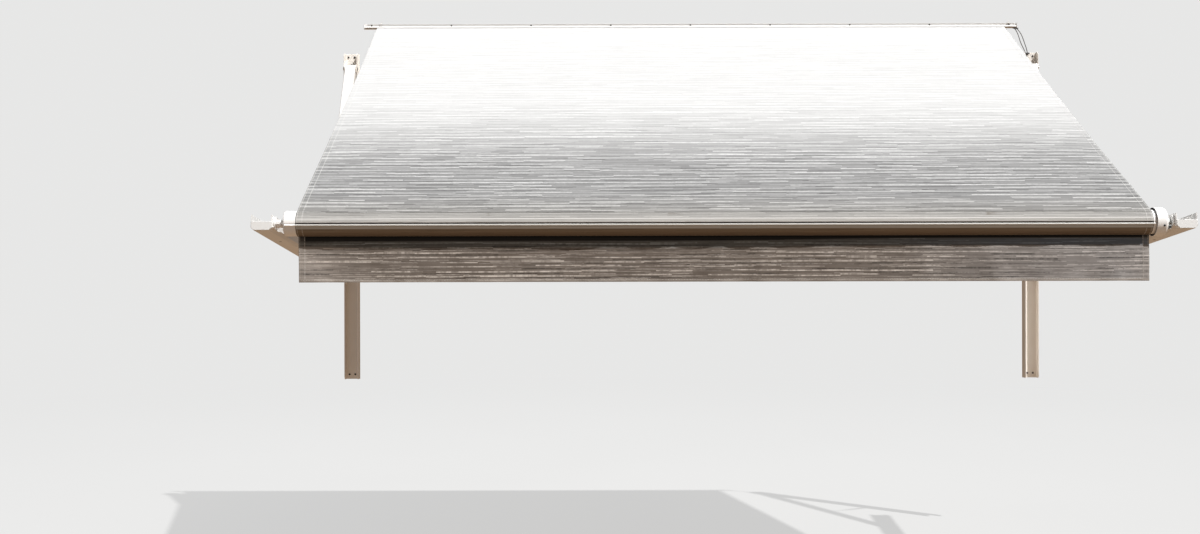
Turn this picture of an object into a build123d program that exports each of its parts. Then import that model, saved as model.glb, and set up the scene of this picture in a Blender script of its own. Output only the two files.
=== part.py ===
from build123d import *
import math
import os

# Roll out awning, shown rolled out. Millimetres, +Z up.
# Origin: middle of the awning rail's back face. The wall is the plane y = 0 and the awning reaches out along -Y.
# Below, u is the distance out from the wall (-y) and v is the distance below the origin (-z).

# ---------------------------------------------------------------- driving dimensions
# linkage, as (u, v)
TOP_PIVOT = (40.0, 250.0)        # upper arm on the top bracket
ELBOW = (740.0, 1391.0)          # elbow, rolled out
HEAD = (2150.0, 1223.0)          # roller axis, rolled out
ELBOW_IN = 70.0                  # elbow's u, rolled in
HEAD_IN = 120.0                  # roller axis u, rolled in
STRUT_FOOT = (24.0, 1420.0)      # strut pivot on the wall channel
STRUT_AT = 750.0                 # strut eye, measured along the upper arm from its pivot

ARM_X = 1990.0                   # middle of each arm from the centre line

# awning rail
RAIL_L, RAIL_H, RAIL_T = 3825.0, 30.0, 2.5
RAIL_SCREW_PITCH, RAIL_SCREWS = 468.0, 9
BEAD_C = (10.5, 6.5)             # bead slot centre (u, v)
BEAD_R, SLOT_R, SLOT_OUT_R = 4.6, 5.5, 7.5

# wall channels
CH_W, CH_D, CH_T = 78.0, 50.0, 3.0
CH_TOP, CH_BOTTOM = 160.0, 2067.0
CH_LIP = 6.0
FOOT_V, FOOT_DX = 2040.0, 33.0
TOP_V, TOP_DX, BOLT_V = 180.0, 36.0, 228.0
SPARE_HOLE_V = (560.0, 1060.0)   # extra fixing holes

# arms
UP_W, UP_D, ARM_T = 61.0, 44.0, 3.0
MAIN_W, MAIN_D = 90.0, 68.0
MAIN_CH = 12.0                   # lower corners
TAIL = 450.0
NOSE = 40.0
PIN_R, HOLE_R = 6.0, 6.06

# roller
TUBE_R, TUBE_T = 55.0, 1.8
WRAP_R = 57.0
FABRIC_HALF = 1840.0
VALANCE_HALF = 1836.0
VALANCE_U, VALANCE_DROP = 15.0, 255.0
CAP_R, HOUSING_R = 55.0, 63.0
FABRIC_T = 1.2

# ---------------------------------------------------------------- derived
L1 = math.dist(TOP_PIVOT, ELBOW)
L2 = math.dist(ELBOW, HEAD)


def unit(a, b):
    d = math.dist(a, b)
    return ((b[0] - a[0]) / d, (b[1] - a[1]) / d)


def side_plane(p, d):
    # local (along, across, x): along runs in direction d from p
    return Plane(origin=(0, -p[0], -p[1]), x_dir=(0, -d[0], -d[1]), z_dir=(1, 0, 0))


W = Plane(origin=(0, 0, 0), x_dir=(0, -1, 0), z_dir=(1, 0, 0))      # local (u, v, x)
F = Plane(origin=(0, 0, 0), x_dir=(1, 0, 0), z_dir=(0, -1, 0))      # local (x, z, u)
V = Plane(origin=(0, 0, 0), x_dir=(1, 0, 0), z_dir=(0, 0, -1))      # local (x, u, v)
R = Plane(origin=(0, -HEAD[0], -HEAD[1]), x_dir=(0, -1, 0), z_dir=(1, 0, 0))
U_ARM = side_plane(TOP_PIVOT, unit(TOP_PIVOT, ELBOW))
M_ARM = side_plane(ELBOW, unit(ELBOW, HEAD))
U_DIR = unit(TOP_PIVOT, ELBOW)
STRUT_EYE = (TOP_PIVOT[0] + STRUT_AT * U_DIR[0], TOP_PIVOT[1] + STRUT_AT * U_DIR[1])
STRUT_L = math.dist(STRUT_FOOT, STRUT_EYE)
S_ARM = side_plane(STRUT_FOOT, unit(STRUT_FOOT, STRUT_EYE))


def poly(pts, c0, c1):
    f = make_face(Polyline(*[(a, b, c0) for a, b in pts], close=True))
    return extrude(f, amount=c1 - c0, dir=(0, 0, 1))


def sect(pts, s0, s1):
    # section points (across, x), run along the first local axis
    f = make_face(Polyline(*[(s0, h, x) for h, x in pts], close=True))
    return extrude(f, amount=s1 - s0, dir=(1, 0, 0))


def rod(a, b, c0, c1, r):
    return Pos(a, b, (c0 + c1) / 2) * Cylinder(r, c1 - c0)


def box(a0, a1, b0, b1, c0, c1):
    return Pos((a0 + a1) / 2, (b0 + b1) / 2, (c0 + c1) / 2) * Box(a1 - a0, b1 - b0, c1 - c0)


def ring(a, b, c0, c1, ro, ri):
    return rod(a, b, c0, c1, ro) - rod(a, b, c0 - 1, c1 + 1, ri)


def at_x(shape, x):
    return Pos(x, 0, 0) * shape


def screw(rh, hh, rs, length, slot=1.4):
    # pan head, seat at 0, head towards +, cross recess
    head = Pos(0, 0, hh / 2) * Cylinder(rh, hh)
    head = fillet(head.edges().group_by(Axis.Z)[-1], hh * 0.45)
    cut = Pos(0, 0, hh) * (Box(rh * 1.15, slot, hh) + Box(slot, rh * 1.15, hh))
    return head + Pos(0, 0, -length / 2) * Cylinder(rs, length) - cut


def bolt(af, hh, rs, length):
    # hex head on a flange washer, seat at 0, head towards +
    washer = Pos(0, 0, 0.8) * Cylinder(af * 0.72, 1.6)
    head = Pos(0, 0, 1.6) * extrude(RegularPolygon(af / 2 / math.cos(math.pi / 6), 6), amount=hh)
    head = chamfer(head.edges().group_by(Axis.Z)[-1], 0.7)
    return washer + head + Pos(0, 0, -length / 2) * Cylinder(rs, length)


nodes = {}
groups = {}


def keep(name, shape):
    nodes[name] = shape


def add(name, *shapes):
    # identical small pieces that share one file
    groups.setdefault(name, []).extend(shapes)


# ---------------------------------------------------------------- awning rail
hl = RAIL_L / 2
bu, bv = BEAD_C
rail = poly([(0, -RAIL_H / 2), (RAIL_T, -RAIL_H / 2), (RAIL_T, RAIL_H / 2), (0, RAIL_H / 2)], -hl, hl)
rail += poly([(0, -RAIL_H / 2), (5.0, -RAIL_H / 2), (5.0, -RAIL_H / 2 + 2.0), (0, -RAIL_H / 2 + 2.0)], -hl, hl)
rail += rod(bu, bv, -hl, hl, SLOT_OUT_R)
rail += poly([(RAIL_T - 0.5, bv - 5), (bu, bv - 5), (bu, bv + 5), (RAIL_T - 0.5, bv + 5)], -hl, hl)
rail -= rod(bu, bv, -hl - 1, hl + 1, SLOT_R)
mouth = 34.0  # degrees below level
mc, ms = math.cos(math.radians(mouth)), math.sin(math.radians(mouth))
rail -= poly([(bu - ms * k + mc * j, bv + mc * k + ms * j) for j, k in ((3, -2.3), (12, -2.3), (12, 2.3), (3, 2.3))], -hl - 1, hl + 1)
rail_xs = [(i - (RAIL_SCREWS - 1) / 2) * RAIL_SCREW_PITCH for i in range(RAIL_SCREWS)]
rail_w = W * rail
for x in rail_xs:
    rail_w -= F * Pos(x, 7.0, 0) * Cylinder(2.6, 20)
keep("awning_rail", rail_w)
keep("rail_screws", Compound(children=[F * Pos(x, 7.0, RAIL_T) * screw(4.6, 2.8, 2.5, RAIL_T - 0.1) for x in rail_xs]))

cap_l = W * (box(0.2, 18.6, -RAIL_H / 2, RAIL_H / 2, -hl - 3, -hl) + box(3.0, 5.5, -12, -3, -hl, -hl + 12))
cap_r = W * (box(0.2, 18.6, -RAIL_H / 2, RAIL_H / 2, hl, hl + 3) + box(3.0, 5.5, -12, -3, hl - 12, hl))
keep("rail_end_caps", Compound(children=[fillet(c.faces().sort_by(Axis.Y)[0].edges(), 1.2) for c in (cap_l, cap_r)]))

stops = []
for x in (-1815.0, 1867.0):
    tab = F * (Pos(x, RAIL_H / 2, 1.2) * extrude(make_face(Polyline((-9, 0, 0), (9, 0, 0), (1.5, 13, 0), (-1.5, 13, 0), close=True)), amount=2.2))
    foot = F * box(x - 9, x + 9, RAIL_H / 2, RAIL_H / 2 + 2.0, 1.2, 9.0)
    stops.append(tab + foot)
keep("rail_stops", Compound(children=stops))

# ---------------------------------------------------------------- wall side, one each end
w2, wi = CH_W / 2, CH_W / 2 - CH_T
for side, sg in (("left", -1), ("right", 1)):
    X = sg * ARM_X
    ch = poly([(-w2 - CH_LIP, 0), (w2 + CH_LIP, 0), (w2 + CH_LIP, 2.5), (w2, 2.5), (w2, CH_D), (wi, CH_D), (wi, CH_T), (-wi, CH_T),
               (-wi, CH_D), (-w2, CH_D), (-w2, 2.5), (-w2 - CH_LIP, 2.5)], CH_TOP, CH_BOTTOM)
    # sloped front corners at both ends
    for v0, k in ((CH_TOP, 1), (CH_BOTTOM, -1)):
        f = make_face(Polyline((-60, CH_D - 16, v0 - k), (-60, CH_D + 5, v0 - k), (-60, CH_D + 5, v0 + k * 20), close=True))
        ch -= extrude(f, amount=120, dir=(1, 0, 0))
    ch = V * ch
    for x, v, r in [(-TOP_DX / 2, TOP_V, 2.8), (TOP_DX / 2, TOP_V, 2.8), (0, BOLT_V, 4.3), (-FOOT_DX / 2, FOOT_V, 2.8), (FOOT_DX / 2, FOOT_V, 2.8),
                    (0, STRUT_FOOT[1] - 27, 3.3), (0, STRUT_FOOT[1] + 27, 3.3)] + [(0, v, 3.25) for v in SPARE_HOLE_V]:
        ch -= F * Pos(x, -v, 0) * Cylinder(r, 12)
    ch -= W * rod(*TOP_PIVOT, -60, 60, HOLE_R)
    keep(f"wall_channel_{side}", at_x(ch, X))

    # top bracket: back plate, two ears
    plate = V * box(-35, 35, CH_T, 8, 163, 296)
    ear = make_face(Polyline((8, 208), (30, 228), (46, 228), (46, 272), (30, 272), (8, 294), close=True)) + Pos(*TOP_PIVOT) * Circle(22)
    ears = [W * (Pos(0, 0, c0) * extrude(ear, amount=4, dir=(0, 0, 1))) for c0 in (-35, 31)]
    tb = plate + ears[0] + ears[1]
    for x, v, r in ((-TOP_DX / 2, TOP_V, 2.8), (TOP_DX / 2, TOP_V, 2.8), (0, BOLT_V, 4.3)):
        tb -= F * Pos(x, -v, 5) * Cylinder(r, 12)
    tb -= W * rod(*TOP_PIVOT, -60, 60, HOLE_R)
    keep(f"top_bracket_{side}", at_x(tb, X))
    for k in (-1, 1):
        add("wall_screws", F * Pos(X + k * TOP_DX / 2, -TOP_V, 8) * screw(5.6, 3.4, 2.7, 7.6),
            F * Pos(X + k * FOOT_DX / 2, -FOOT_V, CH_T) * screw(5.6, 3.4, 2.7, 2.6))
    add("bracket_bolts", F * Pos(X, -BOLT_V, 8) * bolt(12, 4.2, 4.2, 7.6))

    # pivot pin through channel, ears and upper arm
    pin = rod(*TOP_PIVOT, -w2 - 0.2, w2 + 0.2, PIN_R) + rod(*TOP_PIVOT, w2 + 0.2, w2 + 3.6, 10) + rod(*TOP_PIVOT, -w2 - 3.6, -w2 - 0.2, 10)
    add("pivot_pins", at_x(W * pin, X))

    # strut foot: base on the channel's web, two ears and a pin
    fu, fv = STRUT_FOOT
    base = V * box(-22, 22, CH_T, 7.5, fv - 38, fv + 38)
    ear = make_face(Polyline((7.5, fv - 15), (fu, fv - 11), (fu, fv + 11), (7.5, fv + 15), close=True)) + Pos(fu, fv) * Circle(11)
    foot = base + W * (Pos(0, 0, 9.5) * extrude(ear, amount=4, dir=(0, 0, 1))) + W * (Pos(0, 0, -13.5) * extrude(ear, amount=4, dir=(0, 0, 1)))
    foot -= W * rod(fu, fv, -30, 30, 5.05)
    for v in (fv - 27, fv + 27):
        foot -= F * Pos(0, -v, 5) * Cylinder(3.3, 12)
    keep(f"strut_foot_{side}", at_x(foot, X))
    add("wall_screws", *[F * Pos(X, -v, 7.5) * screw(5.6, 3.2, 3.2, 7.2) for v in (fv - 27, fv + 27)])
    fp = rod(fu, fv, -13.7, 13.7, 5) + rod(fu, fv, 13.7, 16.5, 7.5) + rod(fu, fv, -16.5, -13.7, 7.5)
    add("strut_foot_pins", at_x(W * fp, X))

    # ------------------------------------------------------------ gas strut
    cyl = ring(0, 0, -9.2, 9.2, 10, 5.06) + box(8, 20, -5, 5, -5, 5)
    cyl += Pos(202.5, 0, 0) * Rot(0, 90, 0) * Cylinder(11, 367)
    cyl -= Pos(208, 0, 0) * Rot(0, 90, 0) * Cylinder(9.4, 340)
    cyl -= Pos(380, 0, 0) * Rot(0, 90, 0) * Cylinder(5.08, 40)
    cyl -= rod(0, 0, -12, 12, 5.06)
    keep(f"strut_cylinder_{side}", at_x(S_ARM * cyl, X))
    tip = STRUT_L - 335
    srod = Pos((tip + STRUT_L - 9) / 2, 0, 0) * Rot(0, 90, 0) * Cylinder(5, STRUT_L - 9 - tip)
    srod += Pos(tip + 7, 0, 0) * Rot(0, 90, 0) * Cylinder(9.3, 14)
    srod += rod(STRUT_L, 0, -9, 9, 10) + rod(STRUT_L, 0, -27.0, 27.0, 5)
    keep(f"strut_rod_{side}", at_x(S_ARM * srod, X))

    # ------------------------------------------------------------ upper arm: channel open to the wall
    hx, hd = UP_W / 2, UP_D / 2
    ua = sect([(hd, -hx), (-hd + 3, -hx), (-hd, -hx + 3), (-hd, hx - 3), (-hd + 3, hx), (hd, hx), (hd, hx - ARM_T), (-hd + ARM_T + 1.2, hx - ARM_T),
               (-hd + ARM_T, hx - ARM_T - 1.2), (-hd + ARM_T, -hx + ARM_T + 1.2), (-hd + ARM_T + 1.2, -hx + ARM_T), (hd, -hx + ARM_T)], -hd, L1 + hd)
    slot = Pos(L1 / 2, 0, -60) * extrude(SlotCenterToCenter(L1, UP_D), amount=120)
    ua = ua & slot
    ua -= rod(0, 0, -60, 60, HOLE_R)
    ua -= rod(L1, 0, -60, 60, HOLE_R)
    keep(f"upper_arm_{side}", at_x(U_ARM * ua, X))
    for s in (0, L1):
        add(f"arm_sleeves_{side}", at_x(U_ARM * ring(s, 0, -hx + ARM_T + 0.02, hx - ARM_T - 0.02, 9.5, HOLE_R), X))
    sb = [Pos(STRUT_AT, 0, sg2 * (hx + 1.9)) * Cylinder(8, 3.7) for sg2 in (-1, 1)]
    keep(f"strut_bolt_heads_{side}", Compound(children=[at_x(U_ARM * b, X) for b in sb]))

    # ------------------------------------------------------------ main arm: channel open upwards when rolled out
    mx, md, c = MAIN_W / 2, MAIN_D / 2, MAIN_CH
    ci = c - 1.24
    ma = sect([(-md, -mx), (md - c, -mx), (md, -mx + c), (md, mx - c), (md - c, mx), (-md, mx), (-md, mx - ARM_T), (md - ARM_T - ci, mx - ARM_T),
               (md - ARM_T, mx - ARM_T - ci), (md - ARM_T, -mx + ARM_T + ci), (md - ARM_T - ci, -mx + ARM_T), (-md, -mx + ARM_T)], -TAIL, L2 + NOSE)
    ma -= rod(0, 0, -60, 60, HOLE_R)
    # drain hole in the web, and the head bolts' holes in the inner flange
    ma -= Pos(L2 - 320, md, 0) * Rot(90, 0, 0) * Cylinder(7, 12)
    inner = -sg  # the flange nearer the fabric, local x
    for s, h in ((L2 - 235, 0), (L2 - 175, 0), (L2 - 60, 0)):
        ma -= Pos(s, h, inner * (mx - 1)) * Cylinder(3.3, 12)
    keep(f"main_arm_{side}", at_x(M_ARM * ma, X))
    ep = rod(0, 0, -mx - 0.2, mx + 0.2, PIN_R) + rod(0, 0, mx + 0.2, mx + 4.6, 10) + rod(0, 0, -mx - 4.6, -mx - 0.2, 10)
    keep(f"elbow_pin_{side}", at_x(M_ARM * ep, X))
    sp = [ring(0, 0, hx + 0.4, mx - ARM_T - 0.02, 11, HOLE_R), ring(0, 0, -mx + ARM_T + 0.02, -hx - 0.4, 11, HOLE_R)]
    keep(f"elbow_spacers_{side}", Compound(children=[at_x(M_ARM * s, X) for s in sp]))

    # nose: front plate over the lower part of the channel, with a plug that slides inside
    pl = [(-4.0, -mx), (md - c, -mx), (md, -mx + c), (md, mx - c), (md - c, mx), (-4.0, mx)]
    nose = sect(pl, L2 + NOSE, L2 + NOSE + 5)
    nose = chamfer(nose.faces().sort_by(Axis.X)[-1].edges(), 1.5)
    i = 0.15
    plug = [(2.0, -mx + ARM_T + i), (md - ARM_T - ci, -mx + ARM_T + i), (md - ARM_T - i, -mx + ARM_T + ci), (md - ARM_T - i, mx - ARM_T - ci),
            (md - ARM_T - ci, mx - ARM_T - i), (2.0, mx - ARM_T - i)]
    plug_in = [(2.0, -mx + ARM_T + 4), (md - ARM_T - 12, -mx + ARM_T + 4), (md - ARM_T - 4, -mx + ARM_T + 12), (md - ARM_T - 4, mx - ARM_T - 12),
               (md - ARM_T - 12, mx - ARM_T - 4), (2.0, mx - ARM_T - 4)]
    nose += sect(plug, L2 + NOSE - 22, L2 + NOSE) - sect([(1.0, plug_in[0][1])] + plug_in[1:-1] + [(1.0, plug_in[-1][1])], L2 + NOSE - 23, L2 + NOSE - 3)
    keep(f"arm_nose_{side}", at_x(M_ARM * nose, X))
    tc = [(-md, -mx), (md - c, -mx), (md, -mx + c), (md, mx - c), (md - c, mx), (-md, mx)]
    tail = sect(tc, -TAIL - 4, -TAIL)
    tail = chamfer(tail.faces().sort_by(Axis.X)[0].edges(), 1.5)
    tail += sect([(-md + 6, -mx + ARM_T + i), (md - ARM_T - ci, -mx + ARM_T + i), (md - ARM_T - i, -mx + ARM_T + ci), (md - ARM_T - i, mx - ARM_T - ci),
                  (md - ARM_T - ci, mx - ARM_T - i), (-md + 6, mx - ARM_T - i)], -TAIL, -TAIL + 14)
    # open where the wall channel lies inside the arm when rolled in
    tail -= box(-TAIL - 6, -TAIL, -md - 1, 2, -40.5, 40.5) + box(-TAIL, -TAIL + 16, -md - 1, 2, -mx, mx)
    keep(f"arm_tail_cap_{side}", at_x(M_ARM * tail, X))

    # head bracket on the inner flange, with a boss towards the roller
    def bx(c0, c1):
        return (c0, c1) if inner > 0 else (-c1, -c0)

    hb = [(L2 - 262, -12), (L2 - 240, -22), (L2 - 40, -22), (L2 - 20, -27), (L2 + 18, -27), (L2 + 26, -18), (L2 + 26, 18), (L2 + 12, 27), (L2 - 60, 27),
          (L2 - 110, 20), (L2 - 240, 20), (L2 - 262, 10)]
    hbp = poly(hb, *bx(mx, mx + 5))
    hbp += rod(L2, 0, *bx(mx + 5, mx + 10), 30)
    if side == "left":
        hbp += rod(L2, 0, *bx(mx + 10, mx + 43), 17)
        hbp += box(L2 - 24, L2 + 24, -5, 5, *bx(mx + 9, mx + 30))
        hbp -= rod(L2, 0, *bx(mx - 1, mx + 50), 8.05)
    else:
        hbp -= rod(L2, 0, *bx(mx - 1, mx + 12), 12.05)
    for s, h in ((L2 - 235, 0), (L2 - 175, 0), (L2 - 60, 0)):
        hbp -= Pos(s, h, inner * (mx + 3)) * Cylinder(3.3, 12)
    keep(f"head_bracket_{side}", at_x(M_ARM * hbp, X))
    flip = Rot(0, 0, 0) if inner > 0 else Rot(180, 0, 0)
    hbolts = [Pos(s, h, inner * (mx + 5)) * flip * bolt(10, 4.0, 3.2, 7.4) for s, h in ((L2 - 235, 0), (L2 - 175, 0), (L2 - 60, 0))]
    keep(f"head_bolts_{side}", Compound(children=[at_x(M_ARM * b, X) for b in hbolts]))

# ---------------------------------------------------------------- roller
xl, xr = -1842.0, 1842.0         # tube ends


def polar(r, deg):
    # deg below the foremost line of the roller
    return (r * math.cos(math.radians(deg)), r * math.sin(math.radians(deg)))


KEYS = (9.5, 189.5)
sec = Circle(TUBE_R) - Circle(TUBE_R - TUBE_T)
for k in KEYS:
    sec += Pos(*polar(TUBE_R - 5.6, k)) * Circle(5.8) & Circle(TUBE_R)
for k in KEYS:
    sec -= Pos(*polar(TUBE_R - 5.6, k)) * Circle(4.2)
    sec -= Rot(0, 0, k) * Pos(TUBE_R, 0) * Rectangle(9, 2.6)
tube = Pos(0, 0, xl) * extrude(sec, amount=xr - xl)
keep("roller_tube", R * tube)

# fabric turns left on the roller, open at the groove along the front
gap = Rot(0, 0, 1.0) * Pos(WRAP_R, 0) * Rectangle(12, 4.4)
wrap = Circle(WRAP_R) - Circle(TUBE_R + 0.05) - gap
keep("canopy_wrap", R * (Pos(0, 0, -FABRIC_HALF) * extrude(wrap, amount=2 * FABRIC_HALF)))
kb = Pos(*polar(TUBE_R - 5.6, KEYS[0])) * Circle(4.0)
kb2 = Pos(*polar(TUBE_R - 5.6, KEYS[1])) * Circle(4.0)
keep("roller_beads", Compound(children=[R * (Pos(0, 0, xl + 6) * extrude(k, amount=xr - xl - 12)) for k in (kb, kb2)]))
# half round strip over the front seam
strip = (Pos(*polar(WRAP_R - 0.4, 9.5)) * Circle(4.6)) - Circle(WRAP_R + 0.05)
keep("front_strip", R * (Pos(0, 0, -FABRIC_HALF - 1.8) * extrude(strip, amount=FABRIC_HALF + 1.8 + xr)))


def key_cut(c0, c1):
    out = Pos(0, 0, c0) * extrude(Pos(*polar(TUBE_R - 5.6, KEYS[0])) * Circle(6.0), amount=c1 - c0)
    return out + Pos(0, 0, c0) * extrude(Pos(*polar(TUBE_R - 5.6, KEYS[1])) * Circle(6.0), amount=c1 - c0)


def seam(c0, c1, r):
    # rib and groove that carry the front seam on over an end piece
    rib = Pos(0, 0, c0) * extrude((Pos(*polar(r - 0.4, 9.5)) * Circle(4.4)) - Circle(r - 0.6), amount=c1 - c0)
    cut = Pos(0, 0, c0 - 1) * extrude(Rot(0, 0, 1.0) * Pos(r, 0) * Rectangle(3.6, 4.0), amount=c1 - c0 + 2)
    return rib, cut


# left end: cap that turns with the tube, plug and bearing in the tube, on a fixed stub axle
def turned(pts):
    # (x, radius) outline turned about the roller's axis
    f = make_face(Polyline(*[(r, 0, x) for x, r in pts], close=True))
    return revolve(f, Axis.Z)


cap = turned([(-1898, 12), (-1898, CAP_R - 9), (-1896.6, CAP_R - 4.5), (-1893.5, CAP_R - 1.4), (-1889, CAP_R), (xl, CAP_R), (xl, CAP_R - 4),
              (-1889, CAP_R - 4), (-1893, CAP_R - 9), (-1893, 12)])
rib, cut = seam(-1888, xl, CAP_R)
keep("idler_cap", R * (cap + rib - cut))
plug = rod(0, 0, xl, xl + 18, TUBE_R - TUBE_T - 0.05) + rod(0, 0, -1892.8, xl, 24) - key_cut(xl - 1, xl + 19) - rod(0, 0, -1895, xl + 20, 15)
keep("idler_plug", R * plug)
keep("idler_bearing", R * ring(0, 0, xl - 2, xl + 14, 14.97, 8.06))
axle = rod(0, 0, -1944.8, -1817, 8) + rod(0, 0, -1827, -1819, 11)
keep("idler_axle", R * axle)

# right end: collar that turns with the tube, fixed motor with its housing
spigot = ring(0, 0, xr - 16, xr, TUBE_R - TUBE_T - 0.05, 50) - key_cut(xr - 17, xr)
collar = spigot + ring(0, 0, xr, 1868, 52.5, 50)
rib, cut = seam(xr, 1852, 52.5)
keep("drive_collar", R * (collar + rib - (Pos(0, 0, xr + 1) * extrude(Rot(0, 0, 1.0) * Pos(52.5, 0) * Rectangle(2.6, 4.0), amount=40))))
keep("crown_bearing", R * ring(0, 0, xr + 3, 1860, 49.96, 32.07))
wheel = rod(0, 0, 1300, 1318, TUBE_R - TUBE_T - 0.1) - key_cut(1299, 1319)
for a in range(6):
    wheel -= Rot(0, 0, 60 * a + 39.5) * Pos(26, 0, 1309) * Cylinder(8, 30)
wheel += rod(0, 0, 1318, 1338, 8)
keep("drive_wheel", R * wheel)
motor = rod(0, 0, 1322, 1874, 32) - rod(0, 0, 1320, 1344, 8.3)
motor += rod(0, 0, 1874, 1905, 24)
keep("tubular_motor", R * motor)
house = turned([(1856, 60), (1856, 61.6), (1857.4, HOUSING_R), (1895, HOUSING_R), (1901, 59.5), (1906, 53), (1910.5, 43), (1914, 30), (1915, 20),
                (1915, 12.6), (1909, 12.6), (1909, 28), (1905, 40), (1900, 50), (1894, 57), (1878, 58.5), (1878, 32.1), (1872, 32.1), (1872, 59), (1858, 60)])
screw_at = [22 + 120 * k for k in range(3)]
side_screw = Rot(0, 0, 15.5) * Pos(HOUSING_R, 0, 1886) * Rot(0, 90, 0)
for k in screw_at:
    house -= Rot(0, 0, k) * Pos(44, 0, 1912) * Cylinder(5.2, 12)
    house -= Rot(0, 0, k) * Pos(44, 0, 1900) * Cylinder(2.5, 16)
house -= side_screw * Cylinder(2.5, 12)
keep("motor_housing", R * house)
add("housing_screws", *[R * (Rot(0, 0, k) * Pos(44, 0, 1906.05) * screw(4.6, 3.4, 2.4, 4)) for k in screw_at])
coup = rod(0, 0, 1915.1, 1919, 19) + Pos(0, 0, 1919) * extrude(RegularPolygon(17, 6), amount=11) + rod(0, 0, 1905.1, 1944.8, 12)
coup += box(12, 27, 13, 31, 1917, 1928)
coup -= Pos(20, 22, 1922) * Rot(0, 90, 0) * Cylinder(2.6, 30)
keep("motor_coupling", R * coup)
add("housing_screws", R * (Pos(27, 22, 1922) * Rot(0, 90, 0) * screw(4.8, 3.2, 2.5, 12)), R * (side_screw * screw(4.4, 2.4, 2.4, 4.3)))

# ---------------------------------------------------------------- fabric: canopy from the rail to the top of the roller, valance below it
dx, dy = HEAD[0] - bu, HEAD[1] - bv
dist = math.hypot(dx, dy)
rt = WRAP_R + 0.4
slope = math.atan2(dy, dx) - math.asin((rt + FABRIC_T / 2) / dist)
run = math.sqrt(dist ** 2 - (rt + FABRIC_T / 2) ** 2)
cu, cv = math.cos(slope), math.sin(slope)
C_PL = side_plane((bu, bv), (cu, cv))
h = FABRIC_T / 2
keep("canopy", C_PL * poly([(BEAD_R + 0.05, -h), (run, -h), (run, h), (BEAD_R + 0.05, h)], -FABRIC_HALF, FABRIC_HALF))
keep("canopy_bead", W * rod(bu, bv, -FABRIC_HALF, FABRIC_HALF, BEAD_R))
top = math.sqrt((WRAP_R + 0.8) ** 2 - VALANCE_U ** 2)
keep("valance", R * poly([(VALANCE_U, top), (VALANCE_U + FABRIC_T, top), (VALANCE_U + FABRIC_T, VALANCE_DROP), (VALANCE_U, VALANCE_DROP)], -VALANCE_HALF, VALANCE_HALF))

# ---------------------------------------------------------------- two leads from the rail's right end into the right channel
LEAD_R = 2.5
LEAD_A = [(1906.0, 9.0, 21.0), (1917.5, 9.5, 40.0), (1926.0, 11.0, 64.0), (1933.0, 14.0, 92.0), (1942.0, 18.0, 118.0), (1953.5, 20.0, 140.0), (1962.0, 20.5, 163.0)]
LEAD_B = [(1917.0, 9.0, 19.5), (1930.5, 10.0, 35.0), (1942.5, 12.5, 56.0), (1951.5, 16.0, 83.0), (1959.5, 20.0, 111.0), (1968.0, 21.5, 137.0), (1974.0, 20.5, 163.0)]


def lead(name, pts):
    p = [Vector(x, -u, -v) for x, u, v in pts]
    radii = []
    for a, b, d in zip(p, p[1:], p[2:]):
        turn = math.radians((b - a).get_angle(d - b))
        radii.append(0.45 * min((b - a).length, (d - b).length) / math.tan(turn / 2))
    path = FilletPolyline(*p, radius=radii)
    tube = sweep(Plane(origin=p[0], z_dir=(p[1] - p[0])) * Circle(LEAD_R), path=path)
    print(name, "radii", [round(r, 1) for r in radii], "length", round(path.length, 1),
          "volume", round(tube.volume, 1), "section x length", round(math.pi * LEAD_R ** 2 * path.length, 1))
    keep(name, tube)


lead("motor_lead", LEAD_A)
lead("light_lead", LEAD_B)


def outlet(p, q):
    # short collar that a lead comes out of, in line with its first run
    a, b = Vector(p[0], -p[1], -p[2]), Vector(q[0], -q[1], -q[2])
    return Plane(origin=a, z_dir=(a - b)) * Pos(0, 0, 3.5) * Cylinder(4.2, 7)


block = W * box(3.0, 15.0, RAIL_H / 2 + 0.1, RAIL_H / 2 + 3.0, 1893, 1924)
keep("lead_outlet", block + outlet(LEAD_A[0], LEAD_A[1]) + outlet(LEAD_B[0], LEAD_B[1]) - W * box(-5, 40, -20, RAIL_H / 2 + 0.1, 1880, 1940))
gr = W * box(8.1, 33.0, 163.0, 172.0, 1955.5, 1982.0)
keep("lead_grommet", fillet(gr.edges().filter_by(Axis.X), 2.0))

# ---------------------------------------------------------------- write one file per piece
os.makedirs("parts", exist_ok=True)
for name, shapes in groups.items():
    nodes[name] = Compound(children=shapes)
for name, shape in nodes.items():
    shape.label = name
    export_step(shape, f"parts/{name}.step")
print(len(nodes), "nodes; canopy run", round(run, 1), "slope", round(math.degrees(slope), 3))
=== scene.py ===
import math
import random

import bmesh
import bpy
import numpy as np
from mathutils import Matrix, Vector


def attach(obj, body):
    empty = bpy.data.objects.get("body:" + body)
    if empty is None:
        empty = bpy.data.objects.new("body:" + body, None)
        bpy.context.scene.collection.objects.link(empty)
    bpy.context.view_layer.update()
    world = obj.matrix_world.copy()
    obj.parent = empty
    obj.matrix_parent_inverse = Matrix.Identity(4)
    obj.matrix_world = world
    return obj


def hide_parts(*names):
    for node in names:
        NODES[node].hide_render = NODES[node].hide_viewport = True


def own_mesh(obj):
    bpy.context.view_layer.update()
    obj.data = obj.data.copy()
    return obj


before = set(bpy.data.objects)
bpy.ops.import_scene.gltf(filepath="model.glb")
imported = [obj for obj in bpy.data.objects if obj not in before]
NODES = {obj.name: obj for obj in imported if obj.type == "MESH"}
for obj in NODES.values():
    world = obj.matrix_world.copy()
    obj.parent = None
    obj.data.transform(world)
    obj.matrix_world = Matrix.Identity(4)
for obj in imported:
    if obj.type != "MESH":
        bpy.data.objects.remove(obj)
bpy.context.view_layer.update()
SCENE = bpy.context.scene

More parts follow.
